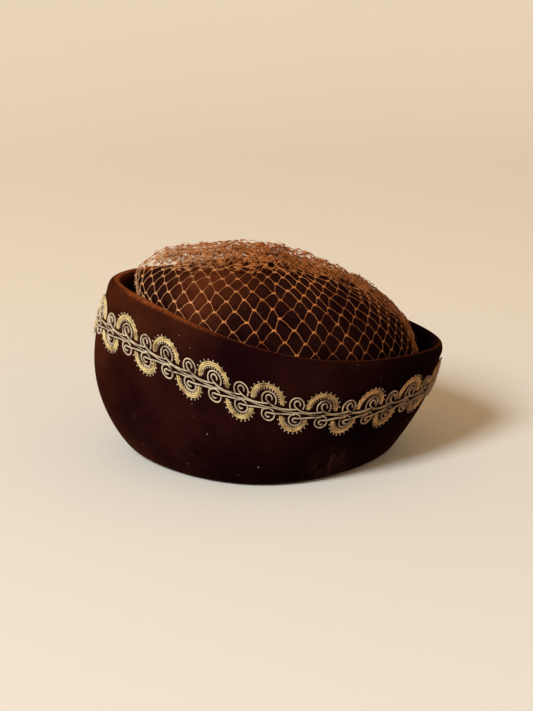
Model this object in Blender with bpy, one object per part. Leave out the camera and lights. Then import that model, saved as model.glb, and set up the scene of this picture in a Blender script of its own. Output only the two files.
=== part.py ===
"""Velvet hat with a domed crown in a deep upturned cuff, a gimp braid round it and a net veil.

Metres, +Z up. The hat rests on the turned-in edge of its cuff. -X is its tall front, +X its low
back, and its two flanks mirror each other. Angles run round the head opening from the back.
"""
from collections import namedtuple

import bmesh
import bpy
import numpy as np

# Driving dimensions
# The head opening's axis stands a little in front of the middle of the whole hat
HEAD_AXIS_X = -0.0030

# Plan ovals: reach forward, backward and sideways, and how far the flanks draw in to the ends
Oval = namedtuple("Oval", "front back side pinch")
HEM = Oval(front=0.0965, back=0.0945, side=0.0858, pinch=0.23)
RIM = Oval(front=0.1090, back=0.1325, side=0.1000, pinch=0.31)
CROWN_WIDEST = Oval(front=0.0885, back=0.1120, side=0.0865, pinch=0.27)
CROWN_FOOT = Oval(front=0.0830, back=0.0810, side=0.0730, pinch=0.08)
HEAD_OPENING = Oval(front=0.0800, back=0.0780, side=0.0700, pinch=0.08)

# The cuff, tall in front and low at the back: rim height, how far the wall bulges between hem
# and rim, and how far below the rim the middle of the braid runs along the wall
Station = namedtuple("Station", "angle rim_height bulge braid_drop")
STATIONS = (
    Station(angle=180, rim_height=0.1330, bulge=0.0215, braid_drop=0.0315),
    Station(angle=135, rim_height=0.1265, bulge=0.0153, braid_drop=0.0340),
    Station(angle=90, rim_height=0.1035, bulge=0.0100, braid_drop=0.0390),
    Station(angle=45, rim_height=0.0880, bulge=0.0082, braid_drop=0.0348),
    Station(angle=0, rim_height=0.0820, bulge=0.0083, braid_drop=0.0265),
)

# Values given at the front, at both sides and at the back. The bulge is fullest at its share of
# the rim's height, and the crown is widest at its distance below the rim
Round = namedtuple("Round", "front side back")
BULGE_HEIGHT_SHARE = Round(front=0.40, side=0.45, back=0.55)
CROWN_BELOW_RIM = Round(front=0.0037, side=0.0180, back=0.0143)

CUFF_WALL = 0.0036
ROLL_BELOW_RIM = 0.0010
HEM_TURN_HEIGHT_SHARE = 0.07
HEM_TURN = 0.0065

CROWN_WALL = 0.0025
CROWN_TOP_X = -0.0010
CROWN_TOP_HEIGHT = 0.1403
DOME_SQUARENESS = 2.28
CROWN_FULLNESS_SHARE = 0.5

# One repeat of the braid has a raised crescent above its stem and one below, half a repeat on
BRAID_REPEATS = 17
BRAID_HALF_WIDTH = 0.0160
BRAID_BETWEEN_CRESCENTS = 0.0090
BRAID_CRESCENT_CORD = 0.0038
BRAID_THICKNESS = 0.0026
# Rows along the braid: how far above its middle line, and how much of the full thickness
BraidRow = namedtuple("BraidRow", "across height")

# The net, coarser than the real one: cells round the crown and rows of cells up it
NET_CELLS_ROUND = 20
NET_ROWS = 6
NET_STRAND = 0.0018
NET_THICKNESS = 0.0012
NET_STANDS_OFF = Round(front=0.0120, side=0.0085, back=0.0032)
NET_TUCKED_OFF = 0.0020
NET_TOP_OFF = 0.0120
# The net is tacked down at the middle of the crown, in the hollow that its puff leaves there
NET_TACKED_OFF = 0.0040
# Where the net begins and ends up the crown, in the crown face's own measure, and where between
# the two it has swelled out to its full distance from the crown
NET_FOOT = 0.85
NET_LAST_ROW = 1.86
NET_FULL_FROM = 1.3
NET_SWELL_AT_WIDEST = 0.8

GAP = 0.0003

# How finely the shapes are divided
SEGMENTS = 48
CUFF_ROWS = 8
ROLL_TURNS = (45, 90, 135)
HEM_TURN_ROWS = (0.33, 0.67)
CROWN_ROWS = (0, 0.25, 0.5, 0.75, 1, 1.12, 1.26, 1.42, 1.60, 1.80)
BRAID_STEPS = 8
FINE_STEPS = 240
SLOPE_STEP = 0.001
LOWEST_BRAID_V = 0.2

for old in list(bpy.data.objects):
    bpy.data.objects.remove(old)


# Curves that the pieces share
def through_stations(values):
    """Cosine series in the angle that takes the given value at each station"""
    waves = np.arange(len(STATIONS))
    at = np.radians([station.angle for station in STATIONS])
    weights = np.linalg.solve(np.cos(np.outer(at, waves)), values)
    return lambda theta: np.cos(np.multiply.outer(theta, waves)) @ weights


RIM_HEIGHT = through_stations([station.rim_height for station in STATIONS])
BULGE = through_stations([station.bulge for station in STATIONS])
BRAID_DROP = through_stations([station.braid_drop for station in STATIONS])


def round_value(sizes, theta):
    """A value that passes smoothly from front to side to back"""
    c = np.cos(theta)
    middle = (sizes.back + sizes.front) / 2
    return sizes.side + (sizes.back - sizes.front) / 2 * c + (middle - sizes.side) * c * c


def plan(oval, theta):
    """Point of a plan oval: an ellipse whose flanks are drawn in by pinch times cos squared"""
    half = (oval.front + oval.back) / 2
    x = HEAD_AXIS_X + (oval.back - oval.front) / 2 + half * np.cos(theta)
    y = oval.side * np.sin(theta) * (1 - oval.pinch * np.cos(theta) ** 2)
    return np.stack([x, y], -1)


def unit(vectors):
    return vectors / np.linalg.norm(vectors, axis=-1, keepdims=True)


def bezier(start, control, end, v):
    return (1 - v) ** 2 * start + 2 * v * (1 - v) * control + v * v * end


def at_height(xy, height):
    return np.concatenate([xy, (height + 0 * xy[..., 0])[..., None]], -1)


def cuff_wall(theta, v):
    """Outer face of the cuff, v from 0 at the hem to 1 at the rim: one bulging curve each way up"""
    hem, rim, height = plan(HEM, theta), plan(RIM, theta), RIM_HEIGHT(theta)
    axis = np.array([HEAD_AXIS_X, 0])
    middle = (hem + rim) / 2 + 2 * BULGE(theta)[..., None] * unit(rim - axis)
    control = at_height(middle, height * round_value(BULGE_HEIGHT_SHARE, theta))
    return bezier(at_height(hem, 0 * theta), control, at_height(rim, height), v[..., None])


def crown_widest_height(theta):
    return RIM_HEIGHT(theta) - round_value(CROWN_BELOW_RIM, theta)


def crown_face(theta, w):
    """Outer face of the crown: w 0 at its foot, 1 at its widest line and 2 at the top"""
    widest, widest_z = plan(CROWN_WIDEST, theta), crown_widest_height(theta)
    foot = at_height(plan(CROWN_FOOT, theta), CUFF_WALL + GAP)
    control = at_height(widest, widest_z * CROWN_FULLNESS_SHARE)
    side = bezier(foot, control, at_height(widest, widest_z), np.minimum(w, 1)[..., None])
    lift = np.radians(90) * np.clip(w - 1, 0, 1)
    reach = np.cos(lift).clip(0) ** (2 / DOME_SQUARENESS)
    rise = np.sin(lift) ** (2 / DOME_SQUARENESS)
    top_xy = np.array([HEAD_AXIS_X + CROWN_TOP_X, 0])
    dome_xy = top_xy + (widest - top_xy) * reach[..., None]
    dome = at_height(dome_xy, widest_z * (1 - rise) + CROWN_TOP_HEIGHT * rise)
    return np.where((w > 1)[..., None], dome, side)


def outward(face, theta, w):
    """Unit normal of a face, from its slopes along both of its parameters"""
    along = face(theta + SLOPE_STEP, w) - face(theta - SLOPE_STEP, w)
    up = face(theta, w + SLOPE_STEP) - face(theta, w - SLOPE_STEP)
    return unit(np.cross(along, up))


# Mesh helpers
def finish(name, bm, colour, roughness, smooth_below=40):
    bmesh.ops.recalc_face_normals(bm, faces=bm.faces)
    mesh = bpy.data.meshes.new(name)
    bm.to_mesh(mesh)
    bm.free()
    mesh.shade_smooth()
    mesh.set_sharp_from_angle(angle=np.radians(smooth_below))
    piece = bpy.data.objects.new(name, mesh)
    bpy.context.collection.objects.link(piece)
    material = bpy.data.materials.new(name)
    material.use_nodes = True
    shader = material.node_tree.nodes["Principled BSDF"]
    shader.inputs["Base Color"].default_value = (*colour, 1)
    shader.inputs["Roughness"].default_value = roughness
    shader.inputs["Metallic"].default_value = 0
    mesh.materials.append(material)
    return piece


def join_rings(bm, lower, upper):
    """A band of quads between two rings of as many corners"""
    count = len(lower)
    for i in range(count):
        j = (i + 1) % count
        bm.faces.new((lower[i], lower[j], upper[j], upper[i]))


def close_ring(bm, ring, centre):
    for i, corner in enumerate(ring):
        bm.faces.new((corner, ring[(i + 1) % len(ring)], centre))


def new_ring(bm, points):
    return [bm.verts.new(point) for point in points]


def draw_in(ring, distance):
    """A plan ring moved inwards, square to its own line"""
    along = np.roll(ring, -1, 0) - np.roll(ring, 1, 0)
    return ring - distance * unit(np.stack([along[:, 1], -along[:, 0]], -1))


def make_cuff():
    """The section: turned-in edge, hem turn, wall, rolled rim and the inner face down again"""
    theta = np.linspace(0, 2 * np.pi, SEGMENTS, endpoint=False)
    flat = 0 * theta
    hem = plan(HEM, theta)
    edge_xy = plan(HEAD_OPENING, theta)
    turn_xy = draw_in(hem, HEM_TURN)
    turn_end = cuff_wall(theta, flat + HEM_TURN_HEIGHT_SHARE)
    rings = [at_height(edge_xy, flat), at_height(turn_xy, flat)]
    for v in HEM_TURN_ROWS:
        rings.append(bezier(at_height(turn_xy, flat), at_height(hem, flat), turn_end, v))

    roll = CUFF_WALL / 2
    last = 1 - ROLL_BELOW_RIM / RIM_HEIGHT(theta)
    shares = np.linspace(0, 1, CUFF_ROWS)
    for share in shares:
        rings.append(cuff_wall(theta, HEM_TURN_HEIGHT_SHARE * (1 - share) + last * share))
    normal = outward(cuff_wall, theta, last)
    up = unit(cuff_wall(theta, last) - cuff_wall(theta, last - SLOPE_STEP))
    centre = cuff_wall(theta, last) - roll * normal
    for turn in np.radians(ROLL_TURNS):
        rings.append(centre + roll * (np.cos(turn) * normal + np.sin(turn) * up))
    for share in shares[:1:-1]:
        v = HEM_TURN_HEIGHT_SHARE * (1 - share) + last * share
        rings.append(cuff_wall(theta, v) - CUFF_WALL * outward(cuff_wall, theta, v))
    rings.append(at_height(turn_xy, flat + CUFF_WALL))
    rings.append(at_height(edge_xy, flat + CUFF_WALL))

    bm = bmesh.new()
    rows = [new_ring(bm, ring) for ring in rings]
    for lower, upper in zip(rows, rows[1:] + rows[:1]):
        join_rings(bm, lower, upper)
    return finish("cuff", bm, colour=(0.030, 0.010, 0.007), roughness=0.85)


def make_crown():
    """One skin from foot to top, thickened inwards"""
    theta = np.linspace(0, 2 * np.pi, SEGMENTS, endpoint=False)
    bm = bmesh.new()
    rows = []
    for w in CROWN_ROWS:
        rows.append(new_ring(bm, crown_face(theta, w + 0 * theta)))
    for lower, upper in zip(rows, rows[1:]):
        join_rings(bm, lower, upper)
    top = bm.verts.new((HEAD_AXIS_X + CROWN_TOP_X, 0, CROWN_TOP_HEIGHT))
    close_ring(bm, rows[-1], top)
    crown = finish("crown", bm, colour=(0.050, 0.018, 0.012), roughness=0.85)
    wall = crown.modifiers.new("wall", "SOLIDIFY")
    wall.thickness = CROWN_WALL
    wall.offset = -1
    return crown


def down_wall(theta, distance):
    """How high up the cuff wall, as v, a point lies at each angle that is so far below the rim"""
    v = np.linspace(1, LOWEST_BRAID_V, FINE_STEPS + 1)
    found = []
    for angle, down in zip(theta, distance):
        face = cuff_wall(angle + 0 * v, v)
        run = np.linalg.norm(np.diff(face, axis=0), axis=-1)
        found.append(np.interp(down, np.concatenate([[0], np.cumsum(run)]), v))
    return np.array(found)


def even_angles(steps):
    """Angles that divide the middle line of the braid into equal lengths"""
    theta = np.linspace(0, 2 * np.pi, FINE_STEPS + 1)
    middle = cuff_wall(theta, down_wall(theta, BRAID_DROP(theta)))
    run = np.linalg.norm(np.diff(middle, axis=0), axis=-1)
    travelled = np.concatenate([[0], np.cumsum(run)])
    return np.interp(np.linspace(0, travelled[-1], steps, endpoint=False), travelled, theta)


def crescent(phase):
    """1 at the middle of a crescent and 0 between two of them"""
    return np.cos(np.pi * phase) ** 2


def make_braid():
    """A scalloped tape, pierced inside each crescent, with its cords raised"""
    steps = BRAID_REPEATS * BRAID_STEPS
    theta = even_angles(steps)
    phase = np.arange(steps) / BRAID_STEPS
    swell = BRAID_HALF_WIDTH - BRAID_BETWEEN_CRESCENTS
    above = BRAID_BETWEEN_CRESCENTS + swell * crescent(phase)
    below = BRAID_BETWEEN_CRESCENTS + swell * crescent(phase + 0.5)
    rows = (
        BraidRow(across=-below, height=0.5),
        BraidRow(across=-below + BRAID_CRESCENT_CORD, height=1),
        BraidRow(across=(BRAID_CRESCENT_CORD - below) / 2, height=0.45),
        BraidRow(across=0 * below, height=0.9),
        BraidRow(across=(above - BRAID_CRESCENT_CORD) / 2, height=0.45),
        BraidRow(across=above - BRAID_CRESCENT_CORD, height=1),
        BraidRow(across=above, height=0.5),
    )
    bm = bmesh.new()
    rings = []
    for row in rows:
        v = down_wall(theta, BRAID_DROP(theta) - row.across)
        rings.append(new_ring(bm, cuff_wall(theta, v) + GAP * outward(cuff_wall, theta, v)))
    half = BRAID_STEPS // 2
    for row in range(len(rows) - 1):
        for i in range(steps):
            step = i % BRAID_STEPS
            open_above = row in (3, 4) and step in (BRAID_STEPS - 1, 0)
            open_below = row in (1, 2) and step in (half - 1, half)
            if open_above or open_below:
                continue
            j = (i + 1) % steps
            bm.faces.new((rings[row][i], rings[row][j], rings[row + 1][j], rings[row + 1][i]))
    braid = finish("braid", bm, colour=(0.38, 0.26, 0.12), roughness=0.55, smooth_below=60)
    relief = braid.vertex_groups.new(name="relief")
    for number, row in enumerate(rows):
        relief.add(range(number * steps, (number + 1) * steps), row.height, "REPLACE")
    tape = braid.modifiers.new("tape", "SOLIDIFY")
    tape.thickness = BRAID_THICKNESS
    tape.offset = 1
    tape.vertex_group = relief.name
    return braid


def net_point(theta, w):
    """The net tucked in below the crown's widest line, standing off it above, level at the top"""
    swell = np.interp(w, (NET_FOOT, 1, NET_FULL_FROM), (0, NET_SWELL_AT_WIDEST, 1))
    top = np.clip((w - NET_FULL_FROM) / (2 - NET_FULL_FROM), 0, 1) ** 2
    stand = round_value(NET_STANDS_OFF, theta) * (1 - top) + NET_TOP_OFF * top
    distance = NET_TUCKED_OFF * (1 - swell) + stand * swell
    return crown_face(theta, w) + distance[..., None] * outward(crown_face, theta, w)


def frame_cell(bm, corners):
    """A strand's half width round a four-cornered cell: four quads and an open middle"""
    points = np.array([corner.co for corner in corners])
    middle = points.mean(0)
    sides = unit(np.roll(points, -1, 0) - points)
    reach = np.linalg.norm(np.cross(sides, middle - points), axis=-1).mean()
    share = NET_STRAND / 2 / reach
    inner = new_ring(bm, points + share * (middle - points))
    join_rings(bm, corners, inner)


def make_veil():
    """Diamond cells with a strand left round each, closed at the tucked edge and at the top"""
    bm = bmesh.new()
    rings = []
    for row, w in enumerate(np.linspace(NET_FOOT, NET_LAST_ROW, NET_ROWS + 2)):
        turn = 2 * np.pi * (np.arange(NET_CELLS_ROUND) + row % 2 / 2) / NET_CELLS_ROUND
        rings.append(new_ring(bm, net_point(turn, w + 0 * turn)))
    for row in range(NET_ROWS):
        low, middle, high = rings[row:row + 3]
        for i in range(NET_CELLS_ROUND):
            left = middle[i - 1 + row % 2]
            right = middle[(i + row % 2) % NET_CELLS_ROUND]
            frame_cell(bm, (low[i], right, high[i], left))
    foot, above, below_top, last = rings[0], rings[1], rings[-2], rings[-1]
    for i in range(NET_CELLS_ROUND):
        j = (i + 1) % NET_CELLS_ROUND
        bm.faces.new((foot[i], foot[j], above[i]))
        bm.faces.new((last[i], last[j], below_top[j]))
    top = bm.verts.new((HEAD_AXIS_X + CROWN_TOP_X, 0, CROWN_TOP_HEIGHT + NET_TACKED_OFF))
    close_ring(bm, last, top)
    veil = finish("veil", bm, colour=(0.36, 0.13, 0.05), roughness=0.6)
    strand = veil.modifiers.new("strand", "SOLIDIFY")
    strand.thickness = NET_THICKNESS
    strand.offset = 1
    return veil


make_cuff()
make_crown()
make_braid()
make_veil()
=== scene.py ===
import bpy
import numpy as np
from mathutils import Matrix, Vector


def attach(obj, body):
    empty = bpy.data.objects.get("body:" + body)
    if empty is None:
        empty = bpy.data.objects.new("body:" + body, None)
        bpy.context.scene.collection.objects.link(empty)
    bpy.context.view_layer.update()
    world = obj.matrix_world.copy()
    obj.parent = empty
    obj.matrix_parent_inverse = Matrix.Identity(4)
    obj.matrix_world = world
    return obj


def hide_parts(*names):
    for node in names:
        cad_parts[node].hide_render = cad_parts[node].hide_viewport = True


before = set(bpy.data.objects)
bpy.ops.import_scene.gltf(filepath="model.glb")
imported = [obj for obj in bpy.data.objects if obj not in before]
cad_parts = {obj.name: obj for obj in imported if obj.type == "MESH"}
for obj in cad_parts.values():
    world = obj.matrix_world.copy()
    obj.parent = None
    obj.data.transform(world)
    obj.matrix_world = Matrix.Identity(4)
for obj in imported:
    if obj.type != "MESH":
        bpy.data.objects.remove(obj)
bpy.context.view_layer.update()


# The cuff: a deep band of dark brown velvet laid double over stiff buckram and turned up round
# the head opening, tall in front (-X) and low at the back. The cloth is rolled over a wire at the
# rim, where a warm painted highlight lies along its pile, and turned in flat at the hem that the hat rests
# on.
HEAD_AXIS_X = -0.0030
OVAL_PARTS = ("front", "back", "side", "pinch")
HEM = dict(zip(OVAL_PARTS, (0.0965, 0.0945, 0.0858, 0.23)))
RIM = dict(zip(OVAL_PARTS, (0.1090, 0.1325, 0.1000, 0.31)))
HEAD_OPENING = dict(zip(OVAL_PARTS, (0.0800, 0.0780, 0.0700, 0.08)))
# Degrees round from the low back, and the wall's height and bulge there
STATION_ANGLES = (180, 135, 90, 45, 0)
RIM_HEIGHTS = (0.1330, 0.1265, 0.1035, 0.0880, 0.0820)
WALL_BULGES = (0.0215, 0.0153, 0.0100, 0.0082, 0.0083)
# Three values are those at the high front, at the sides and at the low back
BULGE_HEIGHT_SHARE = (0.40, 0.45, 0.55)
CUFF_WALL = 0.0036
RIM_ROLL = (0.0050, 0.0034, 0.0026)
RIM_ROLL_DEPTH = 0.0120
RIM_ROLL_SWELL = 0.0008
RIM_ROLL_FADE = 0.0280
HEM_TURN = 0.0065
HEM_TURN_SHARE = 0.07
INNER_FOOT = HEM_TURN_SHARE * 1.6
CUFF_RIPPLE = 0.0005
CUFF_COLUMNS = 400
# Rings of the flat edge below, hem turn, wall, inner face and flat edge inside
CUFF_RINGS = (6, 9, 90, 48, 5)
WALL_RING_EASE = 0.85
CUFF_ROUND_LENGTH = 0.700
CUFF_DARK = (0.0075, 0.0013, 0.0020)
CUFF_LIT = (0.021, 0.0050, 0.0038)
# Painted light on the pile at the high front, towards the key light: its colour, the slant over which it
# rises and where along the hat it starts
CUFF_PAINTED_LIGHT = (0.066, 0.0155, 0.0048)
CUFF_PAINTED_LIGHT_RISES = (0.098, 0.165)
CUFF_PAINTED_LIGHT_STARTS = (-1.0, -0.9)
# Painted highlight along the roll of the rim
RIM_PAINTED_HIGHLIGHT = (0.38, 0.092, 0.021)
# Painted sheen at one spot of the hem's turn-under, low on the camera side towards the back: its colour,
# middle and reach
HEM_PAINTED_SHEEN = (0.10, 0.036, 0.020)
HEM_SHEEN_AT = (0.052, -0.090, 0.004)
HEM_SHEEN_REACH = 0.034
# Painted shade, blackest low at the back away from the key light, and the slant over which it fades
PILE_PAINTED_SHADE = (0.0030, 0.0009, 0.0014)
PILE_PAINTED_SHADE_FADES = (-0.020, 0.070)
LINT = (0.20, 0.14, 0.10)
VELVET_SHEEN = (0.90, 0.29, 0.11)
# Up and forwards, towards the key light: the way along which the painted light grows and the painted shade
# fades
PAINTED_LIGHT_WAY = (-0.6, 0.0, 0.8)
# Painted highlight along the rim, in ridges and along its edge, by the way from its front and down from
# its top
RIDGE_HIGHLIGHT_START, RIDGE_HIGHLIGHT_END, RIDGE_HIGHLIGHT_DOWN = (0.040, 0.062), (0.150, 0.085), (0.0044, 0.0010)
EDGE_HIGHLIGHT_DOWN, EDGE_HIGHLIGHT_ROUND = (0.0022, 0.0003), (0.200, 0.060, 0.07, 0.40)


def through_stations(values, theta):
    """Cosine series in the angle, sum of w_k cos(k theta), that takes the value at each station"""
    waves = np.arange(len(STATION_ANGLES))
    table = np.cos(np.outer(np.radians(STATION_ANGLES), waves))
    return np.cos(np.multiply.outer(theta, waves)) @ np.linalg.solve(table, values)


def round_value(sizes, theta):
    """Smooth value all round from those in front, at the sides and at the back:
    side + (back - front) / 2 cos + ((back + front) / 2 - side) cos^2 of the angle"""
    front, side, back = sizes
    c = np.cos(theta)
    return side + (back - front) / 2 * c + ((back + front) / 2 - side) * c * c


def plan(oval, theta):
    """An ellipse in plan, y multiplied by 1 - pinch cos^2, so that the flanks draw in to the ends"""
    reach = (oval["front"] + oval["back"]) / 2
    x = HEAD_AXIS_X + (oval["back"] - oval["front"]) / 2 + reach * np.cos(theta)
    y = oval["side"] * np.sin(theta) * (1 - oval["pinch"] * np.cos(theta) ** 2)
    return np.stack([x, y], -1)


def unit(vectors):
    """Each vector divided by its own length"""
    return vectors / np.maximum(np.linalg.norm(vectors, axis=-1, keepdims=True), 1e-12)


def raised(xy, height):
    """Plan points given a height each"""
    return np.concatenate([xy, (height + 0 * xy[..., 0])[..., None]], -1)


def bowed(start, control, end, v):
    """Bowed line, (1 - v)^2 start + 2 v (1 - v) control + v^2 end: it leaves its start towards the
    control point and comes to its end from there"""
    return (1 - v) ** 2 * start + 2 * v * (1 - v) * control + v * v * end


def cuff_curve(theta):
    """Hem, control and rim points of the wall at each angle; the control point is pushed out"""
    hem, rim = plan(HEM, theta), plan(RIM, theta)
    height = through_stations(RIM_HEIGHTS, theta)
    push = 2 * through_stations(WALL_BULGES, theta)[..., None]
    middle = (hem + rim) / 2 + push * unit(rim - np.array([HEAD_AXIS_X, 0]))
    control = raised(middle, height * round_value(BULGE_HEIGHT_SHARE, theta))
    return raised(hem, 0 * height), control, raised(rim, height)


def cuff_face(theta, v):
    """Buckram face: at each angle a bowed line from the hem, v = 0, to the rim, v = 1"""
    return bowed(*cuff_curve(theta), v[..., None])


def outward(face, theta, w, step=1e-3):
    """Unit normal: cross product of the face's slopes along its two parameters"""
    along = face(theta + step, w) - face(theta - step, w)
    up = face(theta, w + step) - face(theta, w - step)
    return unit(np.cross(along, up))


def ripple(theta, w, size, seed):
    """Soft unevenness of hand-laid cloth: size / 3 times the sum of five slow waves, each a sine
    round the hat times a sine up it, with seeded phases"""
    rng = np.random.default_rng(seed)
    total = 0
    for waves in ((2, 1.3), (3, 2.1), (5, 1.7), (8, 2.9), (13, 3.7)):
        turn, climb = rng.uniform(0, 2 * np.pi, 2)
        total = total + np.sin(waves[0] * theta + turn) * np.sin(waves[1] * np.pi * w + climb)
    return size * total / 3


def cuff_skin(theta, v):
    """Velvet over the buckram: a padded swell under the rim, sin^2 of the way down it, and ripples"""
    below = (1 - v) * through_stations(RIM_HEIGHTS, theta) / RIM_ROLL_DEPTH
    swell = RIM_ROLL_SWELL * np.sin(np.pi * below.clip(0, 1)) ** 2
    uneven = ripple(theta, v, CUFF_RIPPLE, seed=4) * np.sin(np.pi * v.clip(0, 1))
    return cuff_face(theta, v) + (swell + uneven)[..., None] * outward(cuff_face, theta, v)


def grid_faces(rows, columns, wrap_rows=False, wrap_columns=False):
    """Corner numbers of a grid's quads, whose last row or column may join its first"""
    i = np.arange(rows if wrap_rows else rows - 1)[:, None]
    j = np.arange(columns if wrap_columns else columns - 1)[None, :]
    up, on = (i + 1) % rows * columns, (j + 1) % columns
    return np.stack([i * columns + j, i * columns + on, up + on, up + j], -1).reshape(-1, 4)


def grid_uv(across, along):
    """A corner pair for each quad of grid_faces, from the grid lines' own measures"""
    u, v = np.meshgrid(across, along)
    pairs = np.stack([u, v], -1)
    corners = (pairs[:-1, :-1], pairs[:-1, 1:], pairs[1:, 1:], pairs[1:, :-1])
    return np.stack(corners, 2).reshape(-1, 2)


def new_piece(name, points, faces, uv=None):
    """A smooth-shaded mesh object at the origin, whose place is in its corners"""
    mesh = bpy.data.meshes.new(name)
    mesh.from_pydata(points.reshape(-1, 3).tolist(), [], faces)
    if uv is not None:
        mesh.uv_layers.new(name="UVMap").data.foreach_set("uv", uv.ravel())
    mesh.shade_smooth()
    piece = bpy.data.objects.new(name, mesh)
    bpy.context.scene.collection.objects.link(piece)
    return piece


def new_finish(name):
    """A Principled material, with short ways to add a node and to join two sockets"""
    finish = bpy.data.materials.new(name)
    finish.use_nodes = True
    tree = finish.node_tree
    shader = tree.nodes["Principled BSDF"]

    def node(kind, **settings):
        """A new node; each of its inputs is given a value or the socket that feeds it"""
        made = tree.nodes.new(kind)
        inputs = settings.pop("inputs", {})
        for key, value in settings.items():
            setattr(made, key, value)
        for key, value in inputs.items():
            if isinstance(value, bpy.types.NodeSocket):
                tree.links.new(value, made.inputs[key])
            else:
                made.inputs[key].default_value = value
        return made

    def join(source, socket):
        """Feed an input of the shader"""
        tree.links.new(source, shader.inputs[socket])

    return finish, shader, node, join


def velvet(name, dark, lit, painted_light, painted_light_rises, painted_light_starts, painted_highlight):
    """Cut pile: dark face on, bright at a glance. Painted light towards the high front, rising along a
    slant and starting at a place along the hat, and painted shade low at the back; a painted highlight
    along the roll of the rim, painted sheen at one spot of the hem, and brushed patches, pile and lint"""
    finish, shader, node, join = new_finish(name)
    place = node("ShaderNodeTexCoord")

    def noise(scale, detail, source=place.outputs["Object"]):
        """Fractal noise, so many cells to a metre"""
        return node("ShaderNodeTexNoise", inputs={
            "Vector": source, "Scale": scale, "Detail": detail, "Roughness": 0.6}).outputs["Fac"]

    def ramp(value, low, high, bottom=0.0, top=1.0):
        """Smooth step of a value between low and high, made to run from bottom to top"""
        return node("ShaderNodeMapRange", interpolation_type="SMOOTHSTEP", inputs={
            "Value": value, "From Min": low, "From Max": high,
            "To Min": bottom, "To Max": top}).outputs[0]

    def times(a, b):
        """The product a b"""
        return node("ShaderNodeMath", operation="MULTIPLY", inputs={0: a, 1: b}).outputs[0]

    def blend(share, a, b):
        """(1 - share) a + share b, in colour"""
        return node("ShaderNodeMix", data_type="RGBA", inputs={
            "Factor": share, "A": a, "B": b}).outputs["Result"]

    patches, specks, pile = noise(24.0, 4.0), noise(900.0, 3.0), noise(2600.0, 2.0)
    strokes_map = node("ShaderNodeMapping", inputs={
        "Vector": place.outputs["UV"], "Scale": (1150.0, 50.0, 1.0)})
    strokes = noise(1.0, 3.0, strokes_map.outputs["Vector"])
    tone = node("ShaderNodeMath", operation="MULTIPLY_ADD", inputs={
        0: specks, 1: 0.45, 2: patches}).outputs[0]
    colour = blend(ramp(tone, 0.50, 0.98), (*dark, 1), (*lit, 1))
    # A slanting measure, up and forwards towards the key light: painted shade, blackest low at the back,
    # and painted light at the high front
    slant = node("ShaderNodeVectorMath", operation="DOT_PRODUCT", inputs={
        0: place.outputs["Object"], 1: PAINTED_LIGHT_WAY}).outputs["Value"]
    colour = blend(ramp(slant, *PILE_PAINTED_SHADE_FADES), (*PILE_PAINTED_SHADE, 1), colour)
    along_hat = node("ShaderNodeSeparateXYZ", inputs={0: place.outputs["Object"]}).outputs["X"]
    painted_light_share = times(ramp(slant, *painted_light_rises), ramp(along_hat, *painted_light_starts))
    painted_light_share = times(painted_light_share, ramp(patches, 0.30, 0.62, 0.45, 1.0))
    colour = blend(times(painted_light_share, ramp(specks, 0.3, 0.7, 0.6, 1.0)), colour, (*painted_light, 1))
    # Painted highlight on the roll of the rim, in ridges square to it that follow the nap, and along its
    # edge. The UV map holds the way round and the way down
    wall = node("ShaderNodeSeparateXYZ", inputs={0: place.outputs["UV"]})
    down = wall.outputs["Y"]
    from_front = node("ShaderNodeMath", operation="SUBTRACT", inputs={
        0: wall.outputs["X"], 1: CUFF_ROUND_LENGTH / 2})
    from_front = node("ShaderNodeMath", operation="ABSOLUTE", inputs={0: from_front.outputs[0]}).outputs[0]
    ridge_highlight_band = times(ramp(from_front, *RIDGE_HIGHLIGHT_START), ramp(from_front, *RIDGE_HIGHLIGHT_END))
    ridges = times(ramp(strokes, 0.40, 0.62, 0.10, 1.0), times(ridge_highlight_band, ramp(down, *RIDGE_HIGHLIGHT_DOWN)))
    edge = times(ramp(down, *EDGE_HIGHLIGHT_DOWN), ramp(from_front, *EDGE_HIGHLIGHT_ROUND))
    highlight_share = node("ShaderNodeMath", operation="MAXIMUM", inputs={0: ridges, 1: edge}).outputs[0]
    colour = blend(highlight_share, colour, (*painted_highlight, 1))
    # Painted sheen in streaks at one spot of the hem's turn-under
    away = node("ShaderNodeVectorMath", operation="DISTANCE", inputs={
        0: place.outputs["Object"], 1: HEM_SHEEN_AT}).outputs["Value"]
    hem_sheen = times(ramp(away, HEM_SHEEN_REACH, HEM_SHEEN_REACH * 0.2), ramp(strokes, 0.46, 0.64))
    colour = blend(times(hem_sheen, ramp(specks, 0.40, 0.60, 0.3, 1.0)), colour, (*HEM_PAINTED_SHEEN, 1))
    lint = ramp(noise(420.0, 0.0), 0.870, 0.895)
    join(blend(lint, colour, (*LINT, 1)), "Base Color")
    relief = node("ShaderNodeMath", operation="MULTIPLY_ADD", inputs={
        0: ridges, 1: 1.5, 2: pile}).outputs[0]
    bump = node("ShaderNodeBump", inputs={"Strength": 0.5, "Distance": 0.0004, "Height": relief})
    join(bump.outputs["Normal"], "Normal")
    shader.inputs["Roughness"].default_value = 0.9
    shader.inputs["Specular IOR Level"].default_value = 0.0
    shader.inputs["Sheen Weight"].default_value = 0.06
    shader.inputs["Sheen Roughness"].default_value = 0.28
    shader.inputs["Sheen Tint"].default_value = (*VELVET_SHEEN, 1)
    return finish


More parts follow.
